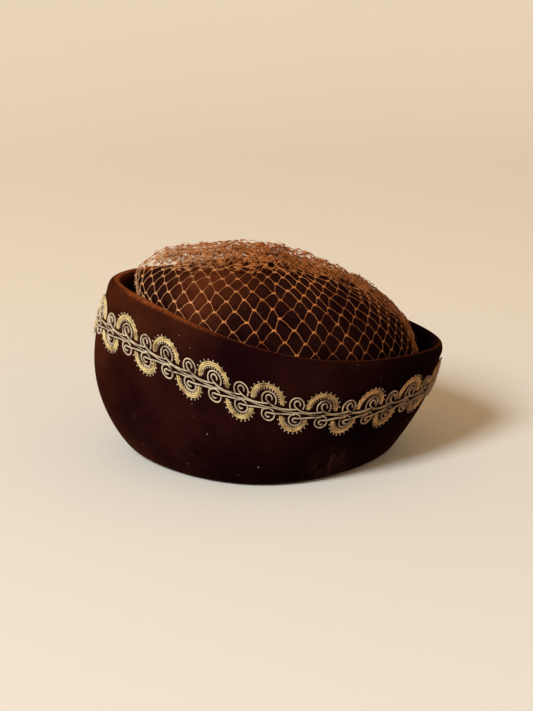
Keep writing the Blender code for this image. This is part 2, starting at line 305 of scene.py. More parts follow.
def cuff_section(theta):
    """Rings of the doubled band: flat turned-in edge, hem turn, wall, rim rolled by cos and sin of
    its turn, inner face at the wall's thickness behind the outer one, and flat edge inside"""
    flat = 0 * theta
    edge_rings, turn_rings, wall_rings, inner_rings, seam_rings = CUFF_RINGS
    hem, opening = plan(HEM, theta), plan(HEAD_OPENING, theta)
    along = np.roll(hem, -1, 0) - np.roll(hem, 1, 0)
    turn_xy = hem - HEM_TURN * unit(np.stack([along[:, 1], -along[:, 0]], -1))
    turn_end = cuff_face(theta, flat + HEM_TURN_SHARE)
    height = through_stations(RIM_HEIGHTS, theta)
    roll = round_value(RIM_ROLL, theta)[:, None]
    last = 1 - roll[:, 0] / height
    rings = [raised(opening + (turn_xy - opening) * s, flat) for s in np.linspace(0, 1, edge_rings)]
    for v in np.linspace(0, 1, turn_rings)[1:-1]:
        rings.append(bowed(raised(turn_xy, flat), raised(hem, flat), turn_end, v))
    for s in np.linspace(0, 1, wall_rings) ** WALL_RING_EASE:
        rings.append(cuff_skin(theta, HEM_TURN_SHARE * (1 - s) + last * s))
    normal = outward(cuff_face, theta, last)
    up = unit(cuff_face(theta, last) - cuff_face(theta, last - 1e-3))
    centre = cuff_skin(theta, last) - roll * normal
    for turn in np.radians(np.arange(10, 180, 10)):
        rings.append(centre + roll * (np.cos(turn) * normal + np.sin(turn) * up))
    for s in np.linspace(1, 0, inner_rings):
        v = INNER_FOOT * (1 - s) + last * s
        below = ((last - v) * height / RIM_ROLL_FADE).clip(0, 1)[:, None]
        thick = CUFF_WALL + (2 * roll - CUFF_WALL) * (1 + np.cos(np.pi * below)) / 2
        rings.append(cuff_skin(theta, v) - thick * outward(cuff_face, theta, v))
    for s in np.linspace(1, 0, seam_rings):
        rings.append(raised(opening + (turn_xy - opening) * s, flat + CUFF_WALL))
    return np.stack(rings)


theta = np.linspace(0, 2 * np.pi, CUFF_COLUMNS, endpoint=False)
rings = cuff_section(theta)
steps = np.linalg.norm(np.diff(np.concatenate([rings, rings[:1]]), axis=0), axis=-1).mean(1)
travel = np.concatenate([[0], np.cumsum(steps)])
rim_row = rings[..., 2].mean(1).argmax()
cuff = new_piece(
    "cuff_velvet", rings,
    grid_faces(*rings.shape[:2], wrap_rows=True, wrap_columns=True).tolist(),
    grid_uv(np.linspace(0, CUFF_ROUND_LENGTH, CUFF_COLUMNS + 1), np.abs(travel[rim_row] - travel)),
)
cuff.data.materials.append(velvet(
    "cuff_velvet", CUFF_DARK, CUFF_LIT, CUFF_PAINTED_LIGHT, CUFF_PAINTED_LIGHT_RISES, CUFF_PAINTED_LIGHT_STARTS, RIM_PAINTED_HIGHLIGHT))
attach(cuff, "root")
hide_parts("cuff")


# The crown: one dome of the same velvet, blocked over buckram, whose foot is sewn to the cuff's
# turned-in edge and whose widest line lies a little below the rim. It is hollow for the head.
CROWN_WIDEST = dict(zip(OVAL_PARTS, (0.0885, 0.1120, 0.0865, 0.27)))
CROWN_FOOT = dict(zip(OVAL_PARTS, (0.0830, 0.0810, 0.0730, 0.08)))
CROWN_BELOW_RIM = (0.0037, 0.0180, 0.0143)
CROWN_WALL = 0.0025
CROWN_TOP = (HEAD_AXIS_X - 0.0010, 0, 0.1403)
CROWN_SQUARENESS = (2.28, 2.24, 2.10)
CROWN_RIPPLE = 0.0006
CROWN_COLUMNS = 320
# Rings from the foot to the widest line, and from there to the top
CROWN_RINGS = (34, 60)
SEAT_GAP = 0.0003
CROWN_DARK = (0.0085, 0.0022, 0.0026)
CROWN_LIT = (0.026, 0.0075, 0.0045)
# Painted light on the crown's upper front, towards the key light: its colour, the slant over which it
# rises and where along the hat it starts
CROWN_PAINTED_LIGHT = (0.160, 0.039, 0.012)
CROWN_PAINTED_LIGHT_RISES = (0.104, 0.140)
CROWN_PAINTED_LIGHT_STARTS = (-0.080, -0.035)
# Painted highlight of the rim, which the crown's map keeps off the crown
CROWN_PAINTED_HIGHLIGHT = (0.165, 0.050, 0.014)


def crown_face(theta, w):
    """Foot to widest line (w 0 to 1) as a bowed line, then to the top (1 to 2) as a
    superellipse: reach cos^(2/m) of the way out and sin^(2/m) of the way up"""
    widest = plan(CROWN_WIDEST, theta)
    height = through_stations(RIM_HEIGHTS, theta) - round_value(CROWN_BELOW_RIM, theta)
    foot = raised(plan(CROWN_FOOT, theta), CUFF_WALL + SEAT_GAP)
    side = bowed(foot, raised(widest, height / 2), raised(widest, height),
                 np.minimum(w, 1)[..., None])
    lift = np.pi / 2 * np.clip(w - 1, 0, 1)
    squareness = round_value(CROWN_SQUARENESS, theta)
    reach = np.cos(lift).clip(0) ** (2 / squareness)
    rise = np.sin(lift) ** (2 / squareness)
    top = np.array(CROWN_TOP)
    dome = raised(top[:2] + (widest - top[:2]) * reach[..., None],
                  height * (1 - rise) + top[2] * rise)
    return np.where((w > 1)[..., None], dome, side)


def cap_fan(first, columns, centre, flip):
    """Triangles from a grid's end row to one corner at its middle"""
    ring = first + np.arange(columns)
    ends = (np.roll(ring, -1), ring) if flip else (ring, np.roll(ring, -1))
    return np.stack([*ends, np.full(columns, centre)], -1)


theta = np.linspace(0, 2 * np.pi, CROWN_COLUMNS, endpoint=False)
side_rings, dome_rings = CROWN_RINGS
climb = np.concatenate([
    np.linspace(0, 0.98, side_rings), 1 + np.linspace(0.02, 0.97, dome_rings) ** 1.2])
grid_theta, grid_w = np.meshgrid(theta, climb)
normal = outward(crown_face, grid_theta, grid_w)
outer = crown_face(grid_theta, grid_w)
fade = np.sin(np.pi * grid_w / 2) ** 2
outer = outer + (ripple(grid_theta, grid_w, CROWN_RIPPLE, seed=9) * fade)[..., None] * normal
inner = (outer - CROWN_WALL * normal)[::-1]
shell = np.concatenate([inner, outer])
rows = len(shell)
tops = np.array([CROWN_TOP, np.subtract(CROWN_TOP, (0, 0, CROWN_WALL))])
corners = np.concatenate([shell.reshape(-1, 3), tops])
faces = grid_faces(rows, CROWN_COLUMNS, wrap_columns=True).tolist()
faces += cap_fan((rows - 1) * CROWN_COLUMNS, CROWN_COLUMNS, rows * CROWN_COLUMNS, False).tolist()
faces += cap_fan(0, CROWN_COLUMNS, rows * CROWN_COLUMNS + 1, True).tolist()
crown = new_piece("crown_velvet", corners, faces)
# The crown's map is its plan moved a metre off, so that it gets none of the rim's painted highlight
crown_map = crown.data.uv_layers.new(name="UVMap")
loop_corners = np.zeros(len(crown.data.loops), int)
crown.data.loops.foreach_get("vertex_index", loop_corners)
crown_map.data.foreach_set("uv", (corners[loop_corners][:, :2] + (0, 1)).ravel())
crown.data.materials.append(velvet(
    "crown_velvet", CROWN_DARK, CROWN_LIT, CROWN_PAINTED_LIGHT, CROWN_PAINTED_LIGHT_RISES, CROWN_PAINTED_LIGHT_STARTS,
    CROWN_PAINTED_HIGHLIGHT))
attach(crown, "root")
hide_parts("crown")


# The braid: a gimp trimming of gold crescents edged with bead picots, each sheltering a snail of
# champagne cord, with more snails between, on both sides of a cord stem. Every cord is a core wound
# with satin thread. It is hand-sewn round the cuff, dipping where the wall is lower.
BRAID_REPEATS = 17
BRAID_PHASE = 0.0142
BRAID_TIGHT = 0.0025
BRAID_DROPS = (0.0315, 0.0340, 0.0390, 0.0348, 0.0265)
BRAID_LEAN = 0.30
CORD_TIP = 0.08
# Painted shade along the hat's X: where it starts, where it is fullest and its most; the cords darken
# towards the low back, away from the key light
PAINTED_SHADE_FROM, PAINTED_SHADE_TO, PAINTED_SHADE_MOST = -0.05, 0.09, 0.9
# Places and weights of three samples that sum a smooth curve over a stretch
SUM_AT, SUM_WEIGHTS = (0.1127, 0.5, 0.8873), (0.2778, 0.4444, 0.2778)


def wall_height(theta, down):
    """v where the wall's curve is so far below the rim: the bowed line's length from there to the
    rim is summed from its speed at three places, and v moves by what is missing over the speed"""
    hem, control, rim = cuff_curve(theta)

    def speed(v):
        """Length of the slope 2 (1 - v) (control - hem) + 2 v (rim - control)"""
        slope = 2 * (1 - v)[..., None] * (control - hem) + 2 * v[..., None] * (rim - control)
        return np.linalg.norm(slope, axis=-1)

    v = 1 - down / through_stations(RIM_HEIGHTS, theta)
    for _ in range(4):
        length = sum(w * (1 - v) * speed(v + (1 - v) * x) for x, w in zip(SUM_AT, SUM_WEIGHTS))
        v = v + (length - down) / speed(v)
    return v


round_angles = np.linspace(np.pi, 3 * np.pi, 1441)
midline = cuff_face(round_angles, wall_height(
    round_angles, through_stations(BRAID_DROPS, round_angles)))
round_length = np.concatenate([[0], np.cumsum(np.linalg.norm(np.diff(midline, axis=0), axis=1))])
repeat = round_length[-1] / BRAID_REPEATS
rise = np.gradient(midline[:, 2], round_length)
stretch = 1 / np.sqrt(1 - rise ** 2)


def on_cuff(s, u, h):
    """Point s along the braid, u above its middle and h off the velvet; the ups follow the wall
    and lean by a share of cos(theta) towards the nearer end of the hat, and the repeats are closer
    together, by a squared cosine wave, where the band was eased round the low back"""
    s = s - BRAID_TIGHT * (1 - np.cos(2 * np.pi * s / round_length[-1])) ** 2
    theta = np.interp(s % round_length[-1], round_length, round_angles)
    s = s + BRAID_LEAN * np.cos(theta) * u
    theta = np.interp(s % round_length[-1], round_length, round_angles)
    up = u * np.interp(s % round_length[-1], round_length, stretch)
    v = wall_height(theta, through_stations(BRAID_DROPS, theta) - up)
    return cuff_skin(theta, v) + h[..., None] * outward(cuff_face, theta, v)


def repeats_of(path, first=0.0, every=1.0):
    """Copies of one path of (s, u) points, a number of repeats apart all round the braid"""
    starts = BRAID_PHASE + repeat * (first + np.arange(0, BRAID_REPEATS, every))
    shift = np.stack([starts, 0 * starts], -1)
    return path[None] + shift[:, None]


def through_points(points, count):
    """Smooth path through points given in millimetres: between two of them the cubic that leaves
    each in the direction from its last neighbour to its next"""
    points = np.asarray(points, float) / 1000
    ends = (2 * points[0] - points[1], 2 * points[-1] - points[-2])
    p = np.concatenate([ends[:1], points, ends[1:]])
    at = np.linspace(0, len(points) - 1, count).clip(0, len(points) - 1 - 1e-9)
    k, f = at.astype(int), (at % 1)[:, None]
    a, b, c, d = p[k], p[k + 1], p[k + 2], p[k + 3]
    return b + f / 2 * (c - a + f * (2 * a - 5 * b + 4 * c - d + f * (3 * (b - c) + d - a)))


def arc_path(centre, reach, start, end, count):
    """Part of an ellipse, in millimetres and degrees"""
    turn = np.radians(np.linspace(start, end, count))
    return (np.array(centre) + np.stack([reach[0] * np.cos(turn), reach[1] * np.sin(turn)], -1)) / 1000


def lay_cords(name, runs, sides):
    """Tubes on the cuff. A run is its paths (copies, points, 2), the cord's width and height, the
    way it is set over to its left and how high its underside is. Its section is an ellipse across
    the path, (width / 2 cos, height / 2 sin), drawn in to a rounded tip at both ends."""
    points, faces, maps = [], [], []
    first = 0
    for paths, width, height, over, lift in runs:
        copies, count = paths.shape[:2]
        ahead = unit(np.gradient(paths, axis=1))
        left = np.stack([-ahead[..., 1], ahead[..., 0]], -1)
        walk = np.linalg.norm(np.diff(paths, axis=1), axis=-1).mean(0)
        along = np.concatenate([[0], np.cumsum(walk)])
        from_end = np.minimum(along, along[-1] - along) / (width / 2)
        tip = np.sqrt(1 - (1 - (from_end + CORD_TIP).clip(0, 1)) ** 2)
        turn = np.arange(sides) * 2 * np.pi / sides
        across = over + width / 2 * tip[:, None] * np.cos(turn)
        height_at = lift + height / 2 + height / 2 * tip[:, None] * np.sin(turn)
        flat = paths[:, :, None] + left[:, :, None] * across[None, :, :, None]
        rings = on_cuff(flat[..., 0], flat[..., 1], np.broadcast_to(height_at, flat.shape[:3]))
        quads = grid_faces(count, sides, wrap_columns=True)
        start = first + np.arange(copies)[:, None, None] * count * sides
        faces += (start + quads).reshape(-1, 4).tolist()
        maps.append(np.tile(grid_uv(turn.tolist() + [2 * np.pi], along), (copies, 1)))
        caps = np.array([np.arange(sides)[::-1], (count - 1) * sides + np.arange(sides)])
        faces += (start + caps).reshape(-1, sides).tolist()
        maps.append(np.zeros((copies * 2 * sides, 2)))
        points.append(rings.reshape(-1, 3))
        first += copies * count * sides
    return new_piece(name, np.concatenate(points), faces, np.concatenate(maps))


def satin_cord(name, colour, shade, painted_shade, thread):
    """Thread wound round a core: fine rings across the cord with painted shade in their grooves, a satin
    gloss, uneven dye, and painted shade that turns it browner towards the low back, away from the key
    light"""
    finish, shader, node, join = new_finish(name)
    place = node("ShaderNodeTexCoord")
    along = node("ShaderNodeSeparateXYZ", inputs={0: place.outputs["UV"]})
    slant = node("ShaderNodeMath", operation="MULTIPLY_ADD", inputs={
        0: along.outputs["Y"], 1: 2 * np.pi / thread, 2: along.outputs["X"]})
    wind = node("ShaderNodeMath", operation="SINE", inputs={0: slant.outputs[0]})
    dye = node("ShaderNodeTexNoise", inputs={
        "Vector": place.outputs["Object"], "Scale": 160.0, "Detail": 3.0, "Roughness": 0.6})
    dirt = node("ShaderNodeMapRange", inputs={
        "Value": dye.outputs["Fac"], "From Min": 0.38, "From Max": 0.68})
    # Painted shade in the grooves between the windings, mixed in with the dye's dirt
    groove = node("ShaderNodeMapRange", inputs={
        "Value": wind.outputs[0], "From Min": -1.0, "From Max": 0.2, "To Min": 0.55, "To Max": 0.0})
    dark = node("ShaderNodeMath", operation="MAXIMUM", inputs={
        0: groove.outputs[0], 1: dirt.outputs[0]})
    tone = node("ShaderNodeMix", data_type="RGBA", inputs={
        "Factor": dark.outputs[0], "A": (*colour, 1), "B": (*shade, 1)})
    along_hat = node("ShaderNodeSeparateXYZ", inputs={0: place.outputs["Object"]})
    painted_shade_share = node("ShaderNodeMapRange", interpolation_type="SMOOTHSTEP", inputs={
        "Value": along_hat.outputs["X"], "From Min": PAINTED_SHADE_FROM, "From Max": PAINTED_SHADE_TO,
        "To Max": PAINTED_SHADE_MOST})
    tone = node("ShaderNodeMix", data_type="RGBA", blend_type="MULTIPLY", inputs={
        "Factor": painted_shade_share.outputs[0], "A": tone.outputs["Result"], "B": (*painted_shade, 1)})
    join(tone.outputs["Result"], "Base Color")
    bump = node("ShaderNodeBump", inputs={
        "Strength": 0.5, "Distance": 0.0001, "Height": wind.outputs[0]})
    join(bump.outputs["Normal"], "Normal")
    shader.inputs["Roughness"].default_value = 0.42
    shader.inputs["Specular IOR Level"].default_value = 0.35
    shader.inputs["Sheen Weight"].default_value = 0.06
    shader.inputs["Sheen Roughness"].default_value = 0.5
    return finish


# The crescents: three ribs of gold cord laid side by side, the middle one standing highest, and bent
# into arches above the stem and, half a repeat on, into flatter ones below it.
# Arches in millimetres and degrees: middle, half widths, first and last angle
UPPER_ARCH = ((0, 4.6), (10.9, 9.6), 190, -9)
LOWER_ARCH = ((0, -4.6), (9.4, 8.5), 176, 364)
# Each rib's way over from the arch's middle line, width and height
GOLD_RIBS = ((-0.00108, 0.00088, 0.0013), (0.0, 0.00092, 0.0020), (0.00108, 0.00088, 0.0013))
# Colour of the thread, of the painted shade in its grooves and of its dirt, the painted shade that
# multiplies it towards the low back, and its winding
GOLD_THREAD = ((0.88, 0.70, 0.32), (0.20, 0.100, 0.024), (0.52, 0.29, 0.13), 0.00110)

crescents = []
for over, width, height in GOLD_RIBS:
    crescents.append((repeats_of(arc_path(*UPPER_ARCH, 46)), width, height, over, 0.0))
    crescents.append((repeats_of(arc_path(*LOWER_ARCH, 46), -0.5), width, height, -over, 0.0))
gold = satin_cord("gold_cord", *GOLD_THREAD)
piece = lay_cords("braid_crescents", crescents, sides=6)
piece.data.materials.append(gold)
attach(piece, "root")
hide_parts("braid")


# The scrolls: snails of champagne cord on both sides of the stem, one every half repeat. Each is a
# ring with a hook wound inside it, whose tail runs on along the stem over a finer cord.
# Rings as the arches are given, and hooks with their tails in millimetres along and up the braid
UPPER_RING = ((1.0, 5.2), (5.3, 5.2), 218, -30)
LOWER_RING = ((1.3, -5.2), (4.9, 4.3), 34, 374)
UPPER_HOOK = (
    (3.2, 5.2), (2.9, 7.3), (1.0, 8.5), (-1.1, 7.2), (-0.8, 4.9), (1.4, 3.0), (4.6, 1.6),
    (9.0, 1.0), (14.0, 1.2), (18.5, 1.9), (22.0, 2.6))
LOWER_HOOK = (
    (2.8, -6.3), (1.0, -6.9), (-0.7, -5.6), (0.2, -4.0), (2.4, -3.8), (6.5, -3.4),
    (11.0, -2.5), (16.0, -1.8), (21.0, -1.6))
# Width and height of each cord
RING_CORD = (0.00098, 0.0016)
HOOK_CORD = (0.00098, 0.0019)
STEM_CORD = (0.0008, 0.0008)
HOOK_LIFT = 0.0003
STEM_SWAY, STEM_DROP = 0.0003, 0.0003
# Colour, painted groove shade and dirt, painted shade towards the low back, and winding, as for the gold
CHAMPAGNE_THREAD = ((0.80, 0.67, 0.46), (0.20, 0.130, 0.070), (0.42, 0.265, 0.165), 0.00036)

stem_walk = np.linspace(0, repeat, 25)
stem_sway = STEM_SWAY * np.sin(np.linspace(0, 4 * np.pi, 25)) - STEM_DROP
scrolls = []
for ring, ring_points, hook, hook_points in (
        (UPPER_RING, 34, UPPER_HOOK, 58), (LOWER_RING, 42, LOWER_HOOK, 50)):
    scrolls.append((repeats_of(arc_path(*ring, ring_points), 0, 0.5), *RING_CORD, 0.0, 0.0))
    scrolls.append((repeats_of(through_points(hook, hook_points), 0, 0.5), *HOOK_CORD, 0.0, HOOK_LIFT))
scrolls.append((repeats_of(np.stack([stem_walk, stem_sway], -1)), *STEM_CORD, 0.0, 0.0))
champagne = satin_cord("champagne_cord", *CHAMPAGNE_THREAD)
piece = lay_cords("braid_scrolls", scrolls, sides=6)
piece.data.materials.append(champagne)
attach(piece, "root")
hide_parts("braid")


# The picots: bead-like loops that edge each crescent, the fine stalks that carry them, and the
# spokes of stitching inside it, all short ends of the champagne cord.
# Number on an upper and on a lower arch, side, length, distance from the arch, width, height, lift
STITCHES = (
    (11, 10, 1, 0.0010, 0.0020, 0.0011, 0.0013, 0.0006),
    (11, 10, 1, 0.0012, 0.0012, 0.0004, 0.0006, 0.0004),
    (14, 12, -1, 0.0018, 0.0012, 0.0008, 0.0009, 0.0003),
)


def spurs(arch, side, number, reach, outset):
    """Short stitches square to an arch, evenly spaced along it, between the distances outset and
    outset + reach to one side of its middle line"""
    k = np.round(np.linspace(0, len(arch) - 1, number + 2)[1:-1]).astype(int)
    ahead = unit(np.gradient(arch, axis=0))[k]
    out = side * np.stack([-ahead[:, 1], ahead[:, 0]], -1)
    walk = np.linspace(outset, outset + reach, 4)
    return arch[k][:, None] + out[:, None] * walk[None, :, None]


def all_round(stitches, first=0.0):
    """Every stitch of one arch, copied to each repeat"""
    return repeats_of(stitches.reshape(-1, 2), first).reshape(-1, *stitches.shape[1:])


edging = []
for on_upper, on_lower, side, reach, outset, width, height, lift in STITCHES:
    upper = spurs(arc_path(*UPPER_ARCH, 400), side, on_upper, reach, outset)
    lower = spurs(arc_path(*LOWER_ARCH, 400), -side, on_lower, reach, outset)
    edging.append((all_round(upper), width, height, 0.0, lift))
    edging.append((all_round(lower, -0.5), width, height, 0.0, lift))
piece = lay_cords("braid_picots", edging, sides=5)
piece.data.materials.append(champagne)
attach(piece, "root")
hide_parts("braid")


# The veil: knotted copper-brown millinery net, cut coarse, that is drawn level round the crown with
# its foot tucked into the groove behind the cuff, and gathered along the middle of the top, where it
# stands off the velvet in a springy tangle. Its two ends are bunched together low at the back.
NET_COLUMNS = 45
NET_ROWS = 20
NET_PITCH = 0.0084
NET_GATHERED = 0.0144
NET_FOOT, NET_END, NET_CROSSES = 0.80, 1.985, 2.030
NET_SQUARENESS = 2.28
NET_RIDGE = 0.66
NET_EVEN = 0.30
NET_STANDS_OFF = (0.0120, 0.0085, 0.0014)
NET_TOP_OFF = 0.0118
NET_TUCKED_OFF = 0.0012
NET_FOLD = 0.0011
# Share of its swell that the veil has at the foot, at the widest line and above
NET_SWELL_AT, NET_SWELL = (NET_FOOT, 1, 1.42), (0, 0.32, 1)
NET_TOP_FROM, NET_TOP_EASE = 1.3, (2.2, 1.2)
# By the place p up a column: how far knots stray along the net, in pitches, and stand off it
NET_STRAY = ((NET_FOOT, 1.72, 1.88), (0.05, 0.08, 0.26))
NET_LOOSE = ((NET_FOOT, 1.05, 1.70, 1.85, NET_END), (0, 0.25, 0.5, 1.6, 2.2))
# Rows near the end are drawn on over the ridge: how far, from which p, and over what stretch
DRAWN_OVER, DRAWN_FROM, DRAWN_STRETCH = 0.035, 1.80, 0.185
KNOT_STANDS, THREAD_SAGS = 0.0009, 0.0007
THREAD_BENDS = (0.075, 0.22)
NET_THREAD = 0.00031
THREAD_SWELL, THREAD_SWELL_REACH = 0.9, 0.13
NET_DARK = (0.20, 0.046, 0.008)
NET_LIGHT = (0.66, 0.240, 0.066)
# Painted light and shade along an axis of the hat: from, to, share and colour. A pale painted highlight
# in front towards the key light, painted shade in the folds on top, and painted shade towards the low
# back, darkest in the bunched ends
NET_PAINTED_LIGHT_AND_SHADE = (
    ("X", 0.0, -0.09, 0.6, (0.80, 0.46, 0.23)),
    ("Z", 0.125, 0.148, 0.35, (0.27, 0.080, 0.016)),
    ("X", 0.010, 0.095, 0.80, (0.13, 0.034, 0.006)),
)
NET_SHEEN = (1.0, 0.55, 0.28)


def veil_face(theta, w):
    """Crown face moved outwards: tucked at the foot, swollen from the widest line up and then, by
    an eased share of the way to the top, level there; cosine folds run up its middle"""
    swell = np.interp(w, NET_SWELL_AT, NET_SWELL)
    ease = NET_TOP_EASE[0] + NET_TOP_EASE[1] * np.cos(theta)
    top = np.clip((w - NET_TOP_FROM) / 0.7, 0, 1) ** ease
    stand = round_value(NET_STANDS_OFF, theta) * (1 - top) + NET_TOP_OFF * top
    lift = np.sin(np.pi * np.clip(w - 1, 0, 1))
    stand = stand + NET_FOLD * np.cos(9 * theta + 2 * np.sin(2 * theta) + 1) * lift
    distance = NET_TUCKED_OFF * (1 - swell) + stand * swell
    return crown_face(theta, w) + distance[..., None] * outward(crown_face, theta, w)


def tubes(name, runs):
    """Round threads along free paths. A run is paths (copies, points, 3), the way outwards at each
    point, a radius for each and the count of sides; the ends are closed"""
    points, faces = [], []
    first = 0
    for paths, out, radius, sides in runs:
        copies, count = paths.shape[:2]
        ahead = unit(np.gradient(paths, axis=1))
        across = unit(np.cross(ahead, out))
        up = np.cross(across, ahead)
        turn = np.arange(sides) * 2 * np.pi / sides
        reach = np.broadcast_to(radius, (copies, count))[:, :, None, None]
        rings = paths[:, :, None] + reach * (
            across[:, :, None] * np.cos(turn)[:, None] + up[:, :, None] * np.sin(turn)[:, None])
        start = first + np.arange(copies)[:, None, None] * count * sides
        faces += (start + grid_faces(count, sides, wrap_columns=True)[:, ::-1]).reshape(-1, 4).tolist()
        caps = np.array([np.arange(sides), ((count - 1) * sides + np.arange(sides))[::-1]])
        faces += (start + caps).reshape(-1, sides).tolist()
        points.append(rings.reshape(-1, 3))
        first += copies * count * sides
    return new_piece(name, np.concatenate(points), faces)


def up_column(column, p):
    """Crown angle and w at p up a column of knots: straight up the wall to p = 1, then over the
    dome to a ridge along its long axis, r cos + (1 - r) ridge (1 - 2 |angle| / pi) and r sin; past
    p = 2 it comes down on the other side"""
    r = np.cos(np.pi / 2 * (p - 1).clip(0))
    r = np.sign(r) * np.abs(r) ** (2 / NET_SQUARENESS)
    turned = np.angle(np.exp(1j * column))
    along = r * np.cos(turned) + (1 - r) * NET_RIDGE * (1 - 2 * np.abs(turned) / np.pi)
    across = np.sin(turned) * r
    lift = np.arccos(np.hypot(along, across).clip(0, 1) ** (NET_SQUARENESS / 2))
    over = p > 1
    return np.where(over, np.arctan2(across, along), column), np.where(over, 1 + lift * 2 / np.pi, p)


def walked(column, p):
    """Way walked up the veil along each column, from its foot"""
    steps = np.diff(veil_face(*up_column(column, p)), axis=-2)
    lengths = np.linalg.norm(steps, axis=-1)
    return np.concatenate([0 * lengths[..., :1], np.cumsum(lengths, -1)], -1)


def off_veil(column, p, more):
    """Points of the veil moved outwards by so much more, with the way outwards there"""
    theta, w = up_column(column, p.clip(NET_FOOT, NET_CROSSES))
    out = outward(crown_face, theta, w)
    return veil_face(theta, w) + more[..., None] * out, out


# Rows of knots: mostly level all round, by the height at which they cross the crown, and for the
# share NET_EVEN by the way walked, and as far apart as they are up its flank. There the n-th row
# from the top lies pitch n - gathered (1 - e^(-n/4)) below the end.
fine = np.linspace(NET_FOOT, NET_END, 300)
flank = np.full(300, -np.pi / 2)
flank_height = crown_face(*up_column(flank, fine))[:, 2]
flank_walk = walked(flank, fine)
half_columns = np.linspace(-np.pi, np.pi, 2 * NET_COLUMNS, endpoint=False)[:, None] + 0 * fine
all_fine = fine[None] + 0 * half_columns
way = walked(half_columns, all_fine)
height = crown_face(*up_column(half_columns, all_fine))[..., 2]
level = np.interp(height, flank_height, flank_walk) + np.minimum(height - flank_height[0], 0)
foot, end = level[:, :1], level[:, -1:]
share = (1 - NET_EVEN) * (level - foot) / (end - foot) + NET_EVEN * way / way[:, -1:]
level = foot + (flank_walk[-1] - foot) * share
from_top = np.arange(NET_ROWS)[::-1]
row_level = flank_walk[-1] - NET_PITCH * from_top + NET_GATHERED * (1 - np.exp(-from_top / 4))
rows_up = np.array([np.interp(row_level, column_level, fine) for column_level in level]).T
odd = np.arange(NET_ROWS) % 2
turns = 2 * np.arange(NET_COLUMNS)[None] + odd[:, None]
row_pitch = np.gradient(rows_up, axis=0).mean(1)[:, None]
even_p = np.take_along_axis(rows_up, turns, 1)
even_column = np.pi * (turns / NET_COLUMNS - 1)
t = np.linspace(0, 1, 10)
flat = t + THREAD_BENDS[0] * np.sin(2 * np.pi * t) + THREAD_BENDS[1] * t * (1 - t)


def lay_net(rng, from_p, crowd, spread, untidy, loose, lift):
    """Knots and threads of one layer: where up the columns it starts, the share of the way down from
    the end that its rows keep, how much more they keep towards the high front, as the eighth power
    of sin(column / 2), how far its knots stray along the net and stand off it, and how high it lies
    over the net's middle surface. Past p = DRAWN_FROM a knot is drawn on by the square of its way
    from there. A thread runs from each knot to the two below it, leaves it flat and reaches the
    next one steeply, and sags or rises by a sine."""
    shown = even_p > from_p
    crowd = crowd + spread * np.sin(even_column / 2) ** 8
    stray = untidy(even_p) * rng.normal(0, 1, (2, *even_p.shape))
    knot_column = even_column + 2 * np.pi / NET_COLUMNS * stray[0]
    knot_p = NET_END - crowd * (NET_END - even_p) + row_pitch * stray[1]
    knot_p = knot_p + DRAWN_OVER * ((knot_p - DRAWN_FROM) / DRAWN_STRETCH).clip(0, 1) ** 2
    knot_p = knot_p.clip(NET_FOOT, NET_CROSSES)
    knot_off = lift + KNOT_STANDS * loose(knot_p) * rng.normal(0, 1, knot_p.shape)
    threads = []
    for side in (0, 1):
        below = np.arange(NET_COLUMNS)[None] + side - 1 + odd[1:, None]
        ends = [np.take_along_axis(values[:-1], below % NET_COLUMNS, 1)
                for values in (knot_column, knot_p, knot_off)]
        ends[0] = ends[0] + 2 * np.pi * np.round((knot_column[1:] - ends[0]) / (2 * np.pi))
        starts = (knot_column[1:], knot_p[1:], knot_off[1:])
        run = [a[..., None] + (b - a)[..., None] * course
               for a, b, course in zip(starts, ends, (flat, t, t))]
        sag = THREAD_SAGS * np.sin(np.pi * t) * rng.normal(0, 1, (*knot_p[1:].shape, 1))
        run[2] = run[2] + sag * loose(knot_p[1:])[..., None]
        threads.append([part[shown[1:]] for part in off_veil(*run)])
    knots = [values[shown][:, None] for values in (knot_column, knot_p, knot_off)]
    return knots, [np.concatenate(pair) for pair in zip(*threads)]


rng = np.random.default_rng(11)
knots, (paths, outs) = lay_net(
    rng, from_p=NET_FOOT + 0.002, crowd=1.0, spread=0.0,
    untidy=lambda p: np.interp(p, *NET_STRAY), loose=lambda p: np.interp(p, *NET_LOOSE), lift=0.0)
near_knot = np.exp(-(t / THREAD_SWELL_REACH) ** 2) + np.exp(-((1 - t) / THREAD_SWELL_REACH) ** 2)
radius = NET_THREAD / 2 * (1 + THREAD_SWELL * near_knot)
net = tubes("veil_net", [(paths, outs, radius, 5)])
thread, shader, node, join = new_finish("net_thread")
place = node("ShaderNodeTexCoord")
faded = node("ShaderNodeTexNoise", inputs={
    "Vector": place.outputs["Object"], "Scale": 45.0, "Detail": 3.0, "Roughness": 0.6})
fibre = node("ShaderNodeTexNoise", inputs={
    "Vector": place.outputs["Object"], "Scale": 2400.0, "Detail": 2.0, "Roughness": 0.7})
tone = node("ShaderNodeMath", operation="MULTIPLY_ADD", inputs={
    0: fibre.outputs["Fac"], 1: 0.5, 2: faded.outputs["Fac"]})
dyed = node("ShaderNodeMapRange", inputs={
    "Value": tone.outputs[0], "From Min": 0.60, "From Max": 0.86})
colour = node("ShaderNodeMix", data_type="RGBA", inputs={
    "Factor": dyed.outputs[0], "A": (*NET_DARK, 1), "B": (*NET_LIGHT, 1)})
on_hat = node("ShaderNodeSeparateXYZ", inputs={0: place.outputs["Object"]})
